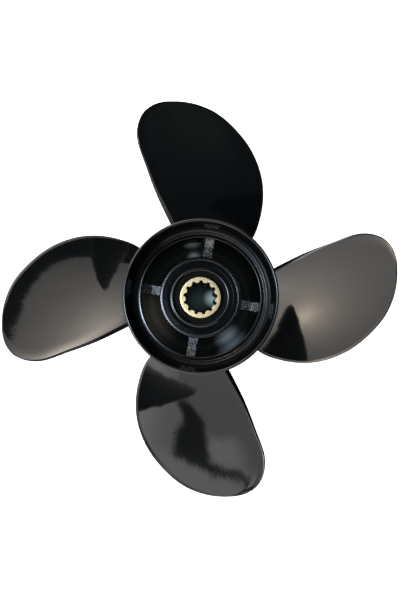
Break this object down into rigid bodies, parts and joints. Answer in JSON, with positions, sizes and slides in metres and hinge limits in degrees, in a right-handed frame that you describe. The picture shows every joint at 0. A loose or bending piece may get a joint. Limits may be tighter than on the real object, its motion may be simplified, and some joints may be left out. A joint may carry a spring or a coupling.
{
  "type": "outboard boat propeller",
  "caption": "Right-hand skewed-blade boat propeller in gloss black, with a flared through-hub exhaust, a rubber bush and a splined brass sleeve.",
  "frame": {"origin": "on the shaft axis at the front rim of the hub, which the propeller stands on", "axes": "+Z along the shaft axis towards aft; +X and +Y across it, with the first blade's tip 8 degrees past +X"},
  "size_m": [0.2932, 0.2932, 0.104],
  "materials": {
    "gloss_paint": "cast aluminium under gloss black paint",
    "rubber": "moulded black rubber",
    "brass": "broached and faced brass"
  },
  "bodies": {
    "root": {"hub_barrel": "gloss_paint", "diffuser_ring": "gloss_paint", "inner_hub": "gloss_paint", "rib_1": "gloss_paint", "rib_2": "gloss_paint", "rib_3": "gloss_paint", "rib_4": "gloss_paint", "blade_1": "gloss_paint", "blade_2": "gloss_paint", "blade_3": "gloss_paint", "blade_4": "gloss_paint", "rubber_bush": "rubber", "splined_sleeve": "brass"}
  },
  "joints": []
}
